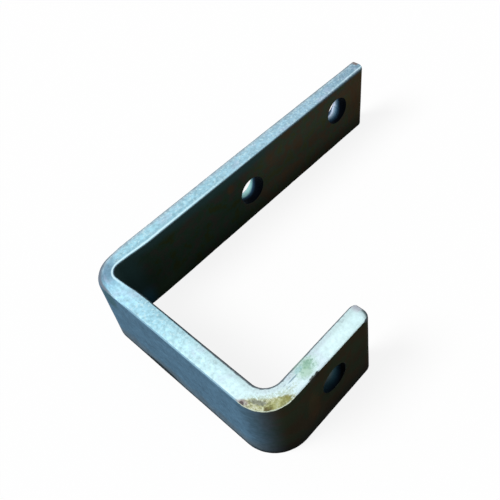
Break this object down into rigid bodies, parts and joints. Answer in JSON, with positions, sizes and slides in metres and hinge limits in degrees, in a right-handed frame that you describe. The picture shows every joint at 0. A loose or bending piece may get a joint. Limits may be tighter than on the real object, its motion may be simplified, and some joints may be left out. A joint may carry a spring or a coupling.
{
  "type": "folded steel bar clamp",
  "caption": "Flat steel bar folded square at both ends of a straight back, with a long drilled leg and a short drilled return leg, to hook over a beam or rail and be bolted there.",
  "frame": {"origin": "middle of the outline, at the bottom, on the long narrow edge that the clamp stands on", "axes": "+X along both legs towards their free ends, +Y from the short leg to the long leg, +Z across the width of the bar"},
  "size_m": [0.1233, 0.0724, 0.025],
  "materials": {
    "bar_steel": "dull blue-grey rolled steel, bright along the narrow edges, dark on the broad faces, rusted at the short leg's bend"
  },
  "bodies": {
    "root": {"clamp_strip": "bar_steel"}
  },
  "joints": []
}
